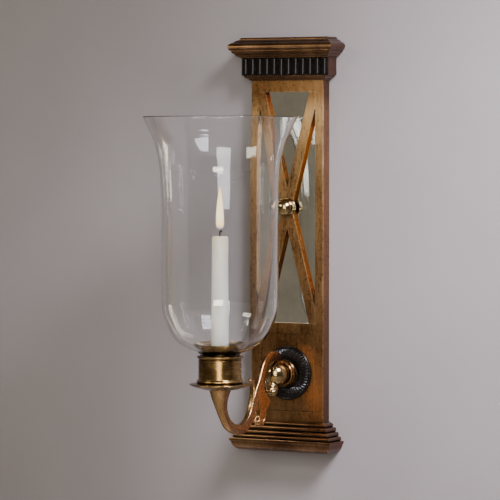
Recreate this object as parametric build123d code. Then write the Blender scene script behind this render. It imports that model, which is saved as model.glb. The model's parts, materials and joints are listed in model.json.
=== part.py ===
from build123d import *
import math
import os

os.makedirs("parts", exist_ok=True)

# Wall sconce: a mirrored brass pilaster that hangs on a wall bracket and carries
# one scrolled arm with a candle under a hurricane glass. Millimetres.
# X points right as seen from the room, Y points into the wall, Z up. The wall is
# the plane y = 0. Heights below count from the foot of the pilaster, and save()
# moves every piece so that the centre of the wall screws is the origin.

# Overall
TOTAL_HEIGHT = 533.0
MOUNT_HEIGHT = 420.0
SHADE_REACH = 186.0  # from the wall to the candle's centre line

# Pilaster case
SHAFT_HALF = 53.0
SHAFT_DEPTH = 16.0
SIDE_WALL = 2.5
FRONT_WALL = 5.5
CASE_BOTTOM = 3.0
CASE_TOP = 530.0
ARRIS = 0.9
CAP_SHEET = 2.0
CAP_INSET = 0.5  # from the wall
OPENING_HALF = 41.0
OPENING_BOTTOM = 165.6
OPENING_TOP = 463.0
CAVITY_FACE = -(SHAFT_DEPTH - FRONT_WALL)  # back of the front wall

# Square field around the rosette
PANEL_HALF = 38.5
PANEL_BOTTOM = 51.4
PANEL_TOP = 152.8
PANEL_RECESS = 2.0
PANEL_GAP = 0.15
LUG_LAP = 7.0
LUG_SHEET = 1.5

# Crossed bars in front of the mirror
BAR_WIDTH = 13.5
BAR_END = 39.3  # where a bar's centre line meets the end of the opening
FINIAL_RADIUS = 12.0
FINIAL_RISE = 3.4  # ball centre in front of its ring
FINIAL_RING_RADIUS = 12.6
FINIAL_RING_THICKNESS = 1.8
FINIAL_RING_EDGE = 0.8
STUD_RADIUS = 1.95
STUD_HOLE = 2.0
STUD_SHORT = 0.5  # gap between the stud's end and the mirror

# Mirror pack
MIRROR_HALF = 46.0
MIRROR_BOTTOM = 162.0
MIRROR_TOP = 467.0
MIRROR_THICKNESS = 3.0
FELT_THICKNESS = 1.3
BACKPLATE_HALF = 48.0
BACKPLATE_BOTTOM = 150.0
BACKPLATE_TOP = 479.0
BACKPLATE_THICKNESS = 1.2
BOSS_X = 42.0
BOSS_HEIGHTS = (156.0, 473.0)
BOSS_RADIUS = 4.0
SCREW_RADIUS = 1.45
SCREW_HOLE = 1.5
SCREW_DEPTH = 4.0
SCREW_HEAD_RADIUS = 2.8
SCREW_HEAD_HEIGHT = 1.5
SCREW_SLOT_WIDTH = 0.8
SCREW_SLOT_FLOOR = 0.9

# Wall bracket and hanger
BRACKET_HALF = 30.0
BRACKET_SHEET = 1.5
BRACKET_DROP = 9.0
BRACKET_RISE = 12.0
LIP_FRONT = 4.3
LIP_TOP = 17.0
HANG_GAP = 0.3
HOOK_CLEARANCE = 0.4
HANGER_SHEET = 1.2
HANGER_TOP = 32.0
HANGER_HALF = 28.0
WALL_SCREW_HOLE = 2.25
WALL_SCREW_SPACING = 40.0
RIVET_RADIUS = 1.6
RIVET_X = 20.0
RIVET_HEAD_RADIUS = 2.72
RIVET_HEAD_HEIGHT = 1.0
PAD_RADIUS = 8.0
PAD_X = 30.0
PAD_HEIGHT = 180.0

# Rosette and arm fixing
ROSETTE_HEIGHT = 101.0
ROSETTE_RADIUS = 34.7
ROSETTE_BORE = 17.0
ROSETTE_THICKNESS = 5.0
ROSETTE_REEDS = 48
ROSETTE_RIM_WIDTH = 2.6
ROSETTE_EDGE = 2.0
ROSETTE_RIM_HEIGHT = 3.4
ROSETTE_INNER_HEIGHT = 3.6
ROSETTE_GROOVE = 1.1
ROSETTE_GROOVE_SINK = 0.3
ROSETTE_FIT = 0.1
DOME_RADIUS = 18.5
DOME_SET = 7.0  # dome's centre in front of the square field
DOME_FRONT = 28.0  # flat front of the dome, from the wall
EYE_FRONT = 31.0
EYE_RADIUS = 15.5
BALL_RADIUS = 16.5
BALL_REACH = 45.0
BOLT_RADIUS = 3.0
BOLT_CLEARANCE = 0.1
WASHER_RADIUS = 7.0
WASHER_THICKNESS = 1.2
NUT_ACROSS_FLATS = 10.0
NUT_HEIGHT = 4.2
STUD_PROUD = 1.0  # stud past the nut

# Arm: centre line as (distance from the wall, height)
ARM_LINE = [
    (29.6, 112),
    (34, 118.5),
    (40, 122.3),
    (49, 124.4),
    (60, 123.8),
    (71, 118.5),
    (79, 108),
    (87, 94),
    (97, 80),
    (104, 67),
    (110, 55),
    (120, 45),
    (131, 39.6),
    (144, 38),
]
ARM_HALF_DEPTH = 6.2
ARM_ROOT_HALF_DEPTH = 4.4
ARM_HALF_WIDTH = 4.0
ARM_ROOT_HALF_WIDTH = 2.4
ARM_ROOT_SHARE = 0.2  # part of the line over which the root widens
ARM_TAPER = (50.0, 100.0)  # reaches between which the band grows to its full width
ARM_STATIONS = 24
# Round end of the arm: (distance from the wall, height, radius)
HORN = [
    (142, 38, 6.6),
    (159, 42.2, 6.7),
    (172, 51.5, 6.3),
    (180, 62, 6.5),
    (184.5, 74, 8.4),
    (186, 84, 11.2),
    (186, 92, 13.7),
]

HORN_START = 150.0  # reach past which the arm ends under the drip plate

# Leaves on the arm
PENDANT_HALF_WIDTH = 4.2
THUMB_HALF_WIDTH = 4.4
SCROLL_REACH = 55.0
SCROLL_HEIGHT = 84.0
SCROLL_RADIUS = 9.5
SCROLL_SQUEEZE = (0.8, 1, 1)
SCROLL_NECK_SHIFT = 11.0
SCROLL_NECK_TILT = 88.0
SCROLL_NECK_RADIUS = 4.2
SCROLL_NECK_LENGTH = 26.0
SCROLL_LOBES = 7
LOBE_RADIUS = 3.4
LOBE_RING = 8.17
LOBE_ANGLES = (200.0, 260.0)  # first lobe, and how far round the fan goes
# Outlines of the two side leaves, as (distance from the wall, height)
PENDANT_OUTLINE = [
    (88, 92),
    (79, 89),
    (74.5, 80),
    (69, 74),
    (63.5, 68),
    (71, 62),
    (76, 54),
    (78.5, 46),
    (84, 39),
    (92, 39),
    (96, 45),
    (91, 50),
    (90.5, 58),
    (92, 66),
    (95, 76),
]
THUMB_OUTLINE = [(100, 84), (104, 84), (109, 88), (111.5, 93), (115, 97.5), (109, 98), (102, 94.5), (98, 90)]

# Turned pieces under and around the glass: heights of their meeting faces
PLATE_RADIUS = 37.3
PLATE_UNDERSIDE = 92.0
CUP_BOTTOM = 100.0
CUP_FLOOR = 102.5
CUP_TOP = 134.5
CUP_BODY_RADIUS = 26.8
CUP_BORE = 25.2
GASKET_TOP = 104.0
GLASS_FOOT = 104.3
CUP_SCREW_HOLE = 2.5
CUP_SCREW_DEPTH = 18.1
CUP_SCREW_SLOT = 1.0
CUP_SCREW_SLOT_FLOOR = 103.9
GLASS_NECK_RADIUS = 24.6
GLASS_WALL = 2.2
GLASS_LIP_RISE = 0.6
GLASS_LIP_BOW = 0.5
# Sections of the turned pieces: (radius, height, outward bulge of the line to it)
DRIP_PLATE = [
    (2.6, PLATE_UNDERSIDE, 0),
    (15, PLATE_UNDERSIDE, 0),
    (28, 94.6, 0.8),
    (PLATE_RADIUS, 97.8, 0.6),
    (PLATE_RADIUS, 99.2, 0.7),
    (30, CUP_BOTTOM, 0.2),
    (2.6, CUP_BOTTOM, 0),
]
SHADE_CUP = [
    (2.6, CUP_BOTTOM, 0),
    (27.2, CUP_BOTTOM, 0),
    (27.2, 104.6, 1.9),
    (CUP_BODY_RADIUS, 105.2, 0),
    (CUP_BODY_RADIUS, 129.0, 0),
    (25.9, 129.6, 0),
    (25.9, 130.4, 0),
    (27.2, 130.9, 0),
    (27.0, CUP_TOP, 1.7),
    (CUP_BORE, CUP_TOP, 0),
    (CUP_BORE, CUP_FLOOR, 0),
    (2.6, CUP_FLOOR, 0),
]
CUP_SCREW = [
    (0, 74, 0),
    (2.45, 74, 0),
    (2.45, CUP_FLOOR, 0),
    (5.0, CUP_FLOOR, 0),
    (5.0, 104.5, 0),
    (0, 105.5, 0),
]
CUP_GASKET = [(8, CUP_FLOOR, 0), (25, CUP_FLOOR, 0), (25, GASKET_TOP, 0), (8, GASKET_TOP, 0)]
# Outside of the glass, as (radius, height): its bowl above the neck, and its flared mouth.
# The body between them is a straight tube.
GLASS_BOWL = [
    (24.6, 134.8),
    (28.2, 138),
    (39, 142.6),
    (55, 154),
    (65.8, 173),
    (71, 187),
    (72.6, 203),
    (72.6, 225),
]
GLASS_FLARE = [
    (72.6, 290),
    (72.6, 310),
    (73.4, 343),
    (75.6, 372),
    (80.2, 394),
    (88.4, 414),
    (95.8, 430),
]

# Candle insert
SLEEVE_RADIUS = 21.6
SLEEVE_WALL = 1.2
DISH_FLOOR = 139.0
DISH_RIM = 149.0
DISH_RADIUS = 33.7
DISH_SHEET = 1.1
SOCKET_RADIUS = 12.9
SOCKET_BORE = 11.65
SOCKET_BOTTOM = 119.8
SOCKET_TOP = 143.5
CANDLE_DISH = [
    (12.95, DISH_FLOOR, 0),
    (SLEEVE_RADIUS, DISH_FLOOR, 0),
    (DISH_RADIUS - 1, 147.8, 1.6),
    (DISH_RADIUS - 1, DISH_RIM, 0.9),
    (DISH_RADIUS - 2.4, 148.4, 0.3),
    (SLEEVE_RADIUS, DISH_FLOOR + DISH_SHEET, -1.6),
    (12.95, DISH_FLOOR + DISH_SHEET, 0),
]
INSERT_SLEEVE = [
    (17.4, GLASS_FOOT, 0),
    (SLEEVE_RADIUS, GLASS_FOOT, 0),
    (SLEEVE_RADIUS, DISH_FLOOR, 0),
    (SLEEVE_RADIUS - SLEEVE_WALL, DISH_FLOOR, 0),
    (SLEEVE_RADIUS - SLEEVE_WALL, GLASS_FOOT + SLEEVE_WALL, 0),
    (17.4, GLASS_FOOT + SLEEVE_WALL, 0),
]
CANDLE_SOCKET = [
    (0, SOCKET_BOTTOM, 0),
    (SOCKET_RADIUS, SOCKET_BOTTOM, 0),
    (SOCKET_RADIUS, SOCKET_TOP, 0),
    (SOCKET_BORE, SOCKET_TOP, 0.4),
    (SOCKET_BORE, 121, 0),
    (0, 121, 0),
]

# Candle
CANDLE_BOTTOM = 121.3
CANDLE_TOP = 282.6
CANDLE_FOOT_RADIUS = 11.35
CANDLE_TIP_RADIUS = 9.85
WICK_RADIUS = 0.8
WICK_ROOT = 262.0
WICK_KNEE = 287.0
WICK_TIP = 3.6
WICK_BEND = 50.0
CANDLE = [
    (0, CANDLE_BOTTOM, 0),
    (CANDLE_FOOT_RADIUS, CANDLE_BOTTOM, 0),
    (CANDLE_TIP_RADIUS, 281, 0),
    (CANDLE_TIP_RADIUS - 1.8, CANDLE_TOP, 0.5),
    (0, 281.8, -0.3),
]

# Mouldings: (projection from the shaft, height, outward bulge of the line to it)
CORNICE = [
    (11.6, 507, 0),
    (11.6, 508.4, 0),
    (13.0, 508.4, 0),
    (16.0, 512.4, 0.9),
    (17.2, 512.4, 0),
    (19.4, 516.4, 0.9),
    (20.4, 516.4, 0),
    (22.4, 519.6, 0.7),
    (22.9, 519.6, 0),
    (22.9, 521.6, 0),
    (17.4, 526.6, 1.1),
    (16.8, 527.2, 0),
    (11.4, 530, 0.6),
]
TOP_CAP = [(11.4, 530, 0), (10.6, 532, 0.3), (9.4, 533, 0.3)]
FRIEZE = [(10.4, 484.3, 0), (10.4, 507, 0)]
NECK = [(0.8, 477.8, 0), (2.8, 480.4, 0.5), (4.0, 480.4, 0), (7.6, 484.3, 0.8)]
BASE_STEPS = [
    (16.4, 15.5, 0),
    (16.4, 20.9, 1.5),
    (12.8, 20.9, 0),
    (12.8, 26.5, 1.5),
    (9.0, 26.5, 0),
    (9.0, 32.6, 1.5),
    (4.8, 32.6, 0),
    (4.8, 37.4, 1.4),
    (0.6, 39.4, 0),
]
FOOT = [(6.0, 0, 0), (19.6, 11.2, 4.0), (21.0, 11.8, 0.3), (21.0, 15.5, 0.4)]
FRIEZE_STRIP = 1.4  # plain thickness of the reeded strip
FRIEZE_REEDS = 12
REED_WIDTH = 9.7
REED_RISE = 3.2
REED_END_GAP = 0.4
REED_END_ROUNDING = 1.6

# Sizes of cutting solids
FAR = 400.0
PAST = 1.0  # how far a cut runs past a face


def save(name, shape):
    """Write one piece with the centre of the wall screws as its origin."""
    export_step(Pos(0, 0, -MOUNT_HEIGHT) * shape, f"parts/{name}.step")


def slab(x, y, z):
    """Box between three (low, high) ranges."""
    centre = [(low + high) / 2 for low, high in (x, y, z)]
    size = [high - low for low, high in (x, y, z)]
    return Pos(*centre) * Box(*size)


def rod(radius, y, x=0.0, height=0.0):
    """Cylinder along Y between y[0] and y[1]."""
    middle = Pos(x, (y[0] + y[1]) / 2, height)
    return middle * Rot(90, 0, 0) * Cylinder(radius, y[1] - y[0])


def bowed(start, end, bulge):
    """Edge from start to end, bowed to its right-hand side by bulge."""
    if not bulge:
        return Line(start, end)
    run, rise = end[0] - start[0], end[1] - start[1]
    length = math.hypot(run, rise)
    middle_x = (start[0] + end[0]) / 2 + bulge * rise / length
    middle_y = (start[1] + end[1]) / 2 - bulge * run / length
    return ThreePointArc(start, (middle_x, middle_y), end)


def closed_face(points):
    """Face inside a loop of (u, v, bulge of the edge that arrives there) points."""
    edges = []
    for start, end in zip(points, points[1:] + points[:1]):
        edges.append(bowed(start[:2], end[:2], end[2]))
    return make_face(edges)


def half_section(half, profile):
    """Section of a moulding from the middle of the shaft out to its profile."""
    line = [(half + projection, height, bulge) for projection, height, bulge in profile]
    line[0] = (line[0][0], line[0][1], 0)
    return closed_face([(0, profile[0][1], 0)] + line + [(0, profile[-1][1], 0)])


def moulding(profile, hollow=True):
    """Moulding on the front and both sides, mitred at the corners."""
    side_plane = Plane(origin=(0, 0, 0), x_dir=(0, -1, 0), z_dir=(-1, 0, 0))
    right = extrude(Plane.XZ * half_section(SHAFT_HALF, profile), FAR)
    across = right + mirror(right, Plane.YZ)
    depth = extrude(side_plane * half_section(SHAFT_DEPTH, profile), FAR, both=True)
    ring = across & depth
    if not hollow:
        return ring
    core = slab((-SHAFT_HALF, SHAFT_HALF), (-SHAFT_DEPTH, PAST), (-FAR, FAR + TOTAL_HEIGHT))
    return ring - core


def turned(points):
    """Piece turned about the candle's centre line from a loop of (radius, height, bulge)."""
    return Pos(0, -SHADE_REACH, 0) * revolve(Plane.XZ * closed_face(points), Axis.Z)


def opening_slab():
    """Space of the mirror opening, through the front wall."""
    return slab(
        (-OPENING_HALF, OPENING_HALF),
        (-SHAFT_DEPTH - PAST, CAVITY_FACE + PAST),
        (OPENING_BOTTOM, OPENING_TOP),
    )


def pilaster_case():
    shell = slab((-SHAFT_HALF, SHAFT_HALF), (-SHAFT_DEPTH, 0), (CASE_BOTTOM, CASE_TOP))
    front = shell.edges().filter_by(Axis.Z).group_by(Axis.Y)[0]
    shell = chamfer(front, ARRIS)
    inner_half = SHAFT_HALF - SIDE_WALL
    shell -= slab((-inner_half, inner_half), (CAVITY_FACE, PAST), (0, TOTAL_HEIGHT))
    shell -= opening_slab()
    panel = (-PANEL_HALF, PANEL_HALF)
    shell -= slab(panel, (-SHAFT_DEPTH - PAST, PAST), (PANEL_BOTTOM, PANEL_TOP))
    plate_face = CAVITY_FACE + MIRROR_THICKNESS + FELT_THICKNESS
    for x in (-BOSS_X, BOSS_X):
        for height in BOSS_HEIGHTS:
            shell += rod(BOSS_RADIUS, (CAVITY_FACE, plate_face), x, height)
            shell -= rod(SCREW_HOLE, (plate_face - SCREW_DEPTH - PAST, plate_face), x, height)
    return shell


def lattice_bar(lean):
    """Diagonal bar whose top leans towards +X for lean 1 and towards -X for lean -1."""
    centre = (OPENING_BOTTOM + OPENING_TOP) / 2
    rise = OPENING_TOP - OPENING_BOTTOM
    angle = lean * math.degrees(math.atan2(2 * BAR_END, rise))
    middle = Pos(0, CAVITY_FACE - FRONT_WALL / 2, centre) * Rot(0, angle, 0)
    bar = middle * Box(BAR_WIDTH, FRONT_WALL, 1.2 * rise)
    bar &= opening_slab()
    return bar - rod(STUD_HOLE, (-SHAFT_DEPTH - PAST, 0), 0, centre)


def lattice():
    """The two bars, halved into each other where they cross."""
    one, other = lattice_bar(1), lattice_bar(-1)
    halfway = CAVITY_FACE - FRONT_WALL / 2
    rear = slab((-FAR, FAR), (halfway, FAR), (0, FAR + TOTAL_HEIGHT))
    front = slab((-FAR, FAR), (-FAR, halfway), (0, FAR + TOTAL_HEIGHT))
    return one - (other & rear), other - (one & front)


def finial():
    """Ball with its stud, and the ring under it."""
    centre = (OPENING_BOTTOM + OPENING_TOP) / 2
    ring_front = -SHAFT_DEPTH - FINIAL_RING_THICKNESS
    ring = rod(FINIAL_RING_RADIUS, (ring_front, -SHAFT_DEPTH), 0, centre)
    ring = fillet(ring.edges().group_by(Axis.Y)[0], FINIAL_RING_EDGE)
    ring -= rod(STUD_HOLE, (-FAR, 0), 0, centre)
    ball = Pos(0, ring_front - FINIAL_RISE, centre) * Sphere(FINIAL_RADIUS)
    ball -= slab((-FAR, FAR), (ring_front, FAR), (0, TOTAL_HEIGHT))
    ball += rod(STUD_RADIUS, (ring_front - PAST, CAVITY_FACE - STUD_SHORT), 0, centre)
    return ball, ring


def mirror_pack():
    """Mirror, felt and back plate, laid one behind the other."""
    mirror_back = CAVITY_FACE + MIRROR_THICKNESS
    felt_back = mirror_back + FELT_THICKNESS
    plate_back = felt_back + BACKPLATE_THICKNESS
    width, height = (-MIRROR_HALF, MIRROR_HALF), (MIRROR_BOTTOM, MIRROR_TOP)
    glass = slab(width, (CAVITY_FACE, mirror_back), height)
    felt = slab(width, (mirror_back, felt_back), height)
    plate_width = (-BACKPLATE_HALF, BACKPLATE_HALF)
    plate = slab(plate_width, (felt_back, plate_back), (BACKPLATE_BOTTOM, BACKPLATE_TOP))
    for x in (-BOSS_X, BOSS_X):
        for boss_height in BOSS_HEIGHTS:
            plate -= rod(SCREW_HOLE, (felt_back - PAST, plate_back + PAST), x, boss_height)
    for x in (-RIVET_X, RIVET_X):
        plate -= rod(RIVET_RADIUS, (felt_back - PAST, plate_back + PAST), x, rivet_height())
    return glass, felt, plate


def plate_back_face():
    """Rear face of the back plate."""
    return CAVITY_FACE + MIRROR_THICKNESS + FELT_THICKNESS + BACKPLATE_THICKNESS


def rivet_height():
    return MOUNT_HEIGHT + (LIP_TOP + HANG_GAP + HANGER_SHEET + HANGER_TOP) / 2


def backplate_screws():
    back = plate_back_face()
    screws = []
    for x in (-BOSS_X, BOSS_X):
        for height in BOSS_HEIGHTS:
            tip = back - BACKPLATE_THICKNESS - SCREW_DEPTH
            screw = rod(SCREW_RADIUS, (tip, back), x, height)
            head = rod(SCREW_HEAD_RADIUS, (back, back + SCREW_HEAD_HEIGHT), x, height)
            half_slot = SCREW_SLOT_WIDTH / 2
            slot_height = (height - half_slot, height + half_slot)
            slot = slab((x - FAR, x + FAR), (back + SCREW_SLOT_FLOOR, 0), slot_height)
            screws.append(screw + head - slot)
    return Compound(children=screws)


def wall_bracket():
    """Bent strip: screwed flange, shelf and upturned lip."""
    base = MOUNT_HEIGHT
    loop = [
        (0, base - BRACKET_DROP),
        (0, base + BRACKET_RISE),
        (-LIP_FRONT + BRACKET_SHEET, base + BRACKET_RISE),
        (-LIP_FRONT + BRACKET_SHEET, base + LIP_TOP),
        (-LIP_FRONT, base + LIP_TOP),
        (-LIP_FRONT, base + BRACKET_RISE - BRACKET_SHEET),
        (-BRACKET_SHEET, base + BRACKET_RISE - BRACKET_SHEET),
        (-BRACKET_SHEET, base - BRACKET_DROP),
    ]
    strip = extrude(Plane.YZ * make_face(Polyline(*loop, close=True)), BRACKET_HALF, both=True)
    for side in (-1, 1):
        x = side * WALL_SCREW_SPACING / 2
        strip -= rod(WALL_SCREW_HOLE, (-BRACKET_SHEET - PAST, PAST), x, base)
    return strip


def hanger_plate():
    """Bent strip on the back plate that hooks over the bracket's lip."""
    base = MOUNT_HEIGHT + LIP_TOP + HANG_GAP
    back = plate_back_face()
    hook_front = -LIP_FRONT + BRACKET_SHEET + HANG_GAP
    hook_back = hook_front + HANGER_SHEET
    hook_foot = MOUNT_HEIGHT + BRACKET_RISE + HOOK_CLEARANCE
    loop = [
        (hook_back, hook_foot),
        (hook_front, hook_foot),
        (hook_front, base),
        (back, base),
        (back, MOUNT_HEIGHT + HANGER_TOP),
        (back + HANGER_SHEET, MOUNT_HEIGHT + HANGER_TOP),
        (back + HANGER_SHEET, base + HANGER_SHEET),
        (hook_back, base + HANGER_SHEET),
    ]
    strip = extrude(Plane.YZ * make_face(Polyline(*loop, close=True)), HANGER_HALF, both=True)
    for x in (-RIVET_X, RIVET_X):
        strip -= rod(RIVET_RADIUS, (back - PAST, 0), x, rivet_height())
    return strip


def hanger_rivets():
    back = plate_back_face()
    flange_back = back + HANGER_SHEET
    rivets = []
    for x in (-RIVET_X, RIVET_X):
        shank = rod(RIVET_RADIUS, (back - BACKPLATE_THICKNESS, flange_back), x, rivet_height())
        head_depth = (flange_back, flange_back + RIVET_HEAD_HEIGHT)
        head = rod(RIVET_HEAD_RADIUS, head_depth, x, rivet_height())
        rivets.append(shank + head)
    return Compound(children=rivets)


def wall_pads():
    """Felt discs that keep the lower end off the wall."""
    back = plate_back_face()
    return Compound(children=[rod(PAD_RADIUS, (back, 0), x, PAD_HEIGHT) for x in (-PAD_X, PAD_X)])


def frieze_block():
    """Bronze block with its front cut back for the reeded strip."""
    block = moulding(FRIEZE)
    front = -(SHAFT_DEPTH + FRIEZE[0][0])
    strip_back = front + REED_RISE + FRIEZE_STRIP
    return block - slab((-FAR, FAR), (front - PAST, strip_back), (0, TOTAL_HEIGHT))


def frieze_reeds():
    """Dark strip of upright reeds with rounded tops."""
    half = SHAFT_HALF + FRIEZE[0][0]
    bottom, top = FRIEZE[0][1], FRIEZE[1][1]
    front = -(SHAFT_DEPTH + FRIEZE[0][0])
    reed_back = front + REED_RISE
    strip = slab((-half, half), (reed_back, reed_back + FRIEZE_STRIP), (bottom, top))
    chord = REED_WIDTH / 2
    radius = (chord**2 + REED_RISE**2) / (2 * REED_RISE)
    pitch = 2 * half / FRIEZE_REEDS
    axis_y = front + radius
    reed = Pos(0, axis_y, (bottom + top) / 2) * Cylinder(radius, top - bottom)
    reed &= slab((-chord, chord), (front, reed_back), (bottom + REED_END_GAP, top - REED_END_GAP))
    upper = reed.edges().group_by(Axis.Z)[-1].filter_by(GeomType.CIRCLE)
    lower = reed.edges().group_by(Axis.Z)[0].filter_by(GeomType.CIRCLE)
    reed = fillet(upper + lower, REED_END_ROUNDING)
    for index in range(FRIEZE_REEDS):
        strip += Pos(-half + (index + 0.5) * pitch, 0, 0) * reed
    return strip


def bottom_cap():
    """Plate that closes the foot of the case."""
    inner_half = SHAFT_HALF - SIDE_WALL
    height = (CASE_BOTTOM, CASE_BOTTOM + CAP_SHEET)
    return slab((-inner_half, inner_half), (CAVITY_FACE, -CAP_INSET), height)


def plinth_panel():
    """Square field, set back from the front and bored for the arm's bolt."""
    half = PANEL_HALF - PANEL_GAP
    height = (PANEL_BOTTOM + PANEL_GAP, PANEL_TOP - PANEL_GAP)
    plate = slab((-half, half), (-SHAFT_DEPTH + PANEL_RECESS, CAVITY_FACE), height)
    return plate - bolt_hole()


def panel_lugs():
    """Two strips behind the case that hold the square field."""
    width = (PANEL_HALF - LUG_LAP, PANEL_HALF + LUG_LAP)
    depth = (CAVITY_FACE, CAVITY_FACE + LUG_SHEET)
    right = slab(width, depth, (PANEL_BOTTOM + LUG_LAP, PANEL_TOP - 2 * LUG_LAP))
    return Compound(children=[right, mirror(right, Plane.YZ)])


def bolt_hole():
    return rod(BOLT_RADIUS + BOLT_CLEARANCE, (-FAR, PAST), 0, ROSETTE_HEIGHT)


def rosette_ring():
    """Dark ring with a smooth rim and radial reeds."""
    back = -SHAFT_DEPTH + PANEL_RECESS
    middle = (ROSETTE_RADIUS + ROSETTE_BORE) / 2
    rim = ROSETTE_RADIUS - ROSETTE_RIM_WIDTH
    loop = [
        (ROSETTE_BORE, 0, 0),
        (ROSETTE_RADIUS, 0, 0),
        (ROSETTE_RADIUS, ROSETTE_EDGE, 0),
        (rim, ROSETTE_RIM_HEIGHT, 0.9),
        (middle, ROSETTE_THICKNESS, 0.5),
        (ROSETTE_BORE, ROSETTE_INNER_HEIGHT, 0.4),
    ]
    blank = revolve(Plane.XZ * closed_face(loop), Axis.Z)
    groove_length = rim - ROSETTE_BORE
    groove_height = ROSETTE_THICKNESS - ROSETTE_GROOVE_SINK
    for index in range(ROSETTE_REEDS):
        turn = Rot(0, 0, 360 * index / ROSETTE_REEDS)
        cutter = Rot(45, 0, 0) * Box(groove_length, ROSETTE_GROOVE, ROSETTE_GROOVE)
        blank -= turn * Pos(ROSETTE_BORE + groove_length / 2, 0, groove_height) * cutter
    return Pos(0, back, ROSETTE_HEIGHT) * Rot(90, 0, 0) * blank


def wall_boss():
    """Polished dome between the rosette and the arm's eye."""
    back = -SHAFT_DEPTH + PANEL_RECESS
    centre = back - DOME_SET
    dome = Pos(0, centre, ROSETTE_HEIGHT) * Sphere(DOME_RADIUS)
    seat = back - ROSETTE_THICKNESS
    dome &= slab((-FAR, FAR), (-DOME_FRONT, seat), (0, TOTAL_HEIGHT))
    dome += rod(ROSETTE_BORE - ROSETTE_FIT, (seat, back), 0, ROSETTE_HEIGHT)
    return dome - bolt_hole()


def boss_ball():
    """Polished ball that closes the arm's eye and hides the bolt's end."""
    ball = Pos(0, -BALL_REACH, ROSETTE_HEIGHT) * Sphere(BALL_RADIUS)
    ball -= slab((-FAR, FAR), (-EYE_FRONT, FAR), (0, TOTAL_HEIGHT))
    return ball - rod(BOLT_RADIUS, (-BALL_REACH, PAST), 0, ROSETTE_HEIGHT)


def arm_fixings():
    """Stud from the ball to the nut inside the case, with washer and nut."""
    washer_back = CAVITY_FACE + WASHER_THICKNESS
    nut_back = washer_back + NUT_HEIGHT
    stud = rod(BOLT_RADIUS, (-BALL_REACH, nut_back + STUD_PROUD), 0, ROSETTE_HEIGHT)
    washer = rod(WASHER_RADIUS, (CAVITY_FACE, washer_back), 0, ROSETTE_HEIGHT) - bolt_hole()
    hexagon = RegularPolygon(NUT_ACROSS_FLATS / 2, 6, major_radius=False)
    nut = Pos(0, nut_back, ROSETTE_HEIGHT) * Rot(90, 0, 0) * extrude(hexagon, NUT_HEIGHT)
    nut -= rod(BOLT_RADIUS, (-FAR, PAST), 0, ROSETTE_HEIGHT)
    return stud, washer, nut


def arm_band():
    """Flat scroll of the arm, thinner in both directions towards the wall."""
    line = Spline(*[(-reach, height) for reach, height in ARM_LINE])
    outer, inner = [], []
    for index in range(ARM_STATIONS + 1):
        t = index / ARM_STATIONS
        point, along = line @ t, line % t
        root = max(0.0, 1 - t / ARM_ROOT_SHARE)
        half = ARM_HALF_DEPTH + (ARM_ROOT_HALF_DEPTH - ARM_HALF_DEPTH) * root
        outer.append((point.X - half * along.Y, point.Y + half * along.X))
        inner.append((point.X + half * along.Y, point.Y - half * along.X))
    edges = [Spline(*outer), Line(outer[-1], inner[-1]), Spline(*inner), Line(inner[0], outer[0])]
    band = extrude(Plane.YZ * make_face(edges), ARM_HALF_WIDTH, both=True)
    narrow, wide = ARM_ROOT_HALF_WIDTH, ARM_HALF_WIDTH
    right = [(narrow, 0), (narrow, -ARM_TAPER[0]), (wide, -ARM_TAPER[1]), (wide, -FAR)]
    plan = right + [(-x, y) for x, y in reversed(right)]
    return band & extrude(make_face(Polyline(*plan, close=True)), TOTAL_HEIGHT)


def arm_horn():
    """Round end of the arm, swelling up to the drip plate."""
    path = Spline(*[(0, -reach, height) for reach, height, _ in HORN])
    sections = []
    for reach, height, radius in HORN:
        t = path.param_at_point(Vector(0, -reach, height))
        along = path % t
        plane = Plane(origin=(0, -reach, height), x_dir=(1, 0, 0), z_dir=tuple(along))
        sections.append(plane * Circle(radius))
    return loft(sections)


def scroll_arm():
    arm = arm_band() + arm_horn()
    eye = rod(EYE_RADIUS, (-EYE_FRONT, -DOME_FRONT), 0, ROSETTE_HEIGHT)
    trim = slab((-FAR, FAR), (-FAR, -DOME_FRONT), (0, PLATE_UNDERSIDE))
    trim += slab((-FAR, FAR), (-HORN_START, -DOME_FRONT), (0, TOTAL_HEIGHT))
    arm = (arm + eye) & trim
    arm -= Pos(0, -BALL_REACH, ROSETTE_HEIGHT) * Sphere(BALL_RADIUS)
    arm -= bolt_hole()
    thread_middle = PLATE_UNDERSIDE - CUP_SCREW_DEPTH / 2
    thread = Pos(0, -SHADE_REACH, thread_middle) * Cylinder(CUP_SCREW_HOLE, CUP_SCREW_DEPTH)
    return arm - thread


def leaf_slice(outline, half_width):
    """Leaf cut from an outline of (distance from the wall, height)."""
    edge = Spline(*[(-reach, height) for reach, height in outline], periodic=True)
    return extrude(Plane.YZ * make_face(edge), half_width, both=True)


def pendant_leaf():
    """Long leaf that leaves the back of the arm and curls at its tip."""
    return leaf_slice(PENDANT_OUTLINE, PENDANT_HALF_WIDTH) - scroll_arm()


def thumb_leaf():
    """Small leaf tip that turns out from the front of the arm."""
    return leaf_slice(THUMB_OUTLINE, THUMB_HALF_WIDTH) - scroll_arm()


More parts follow.
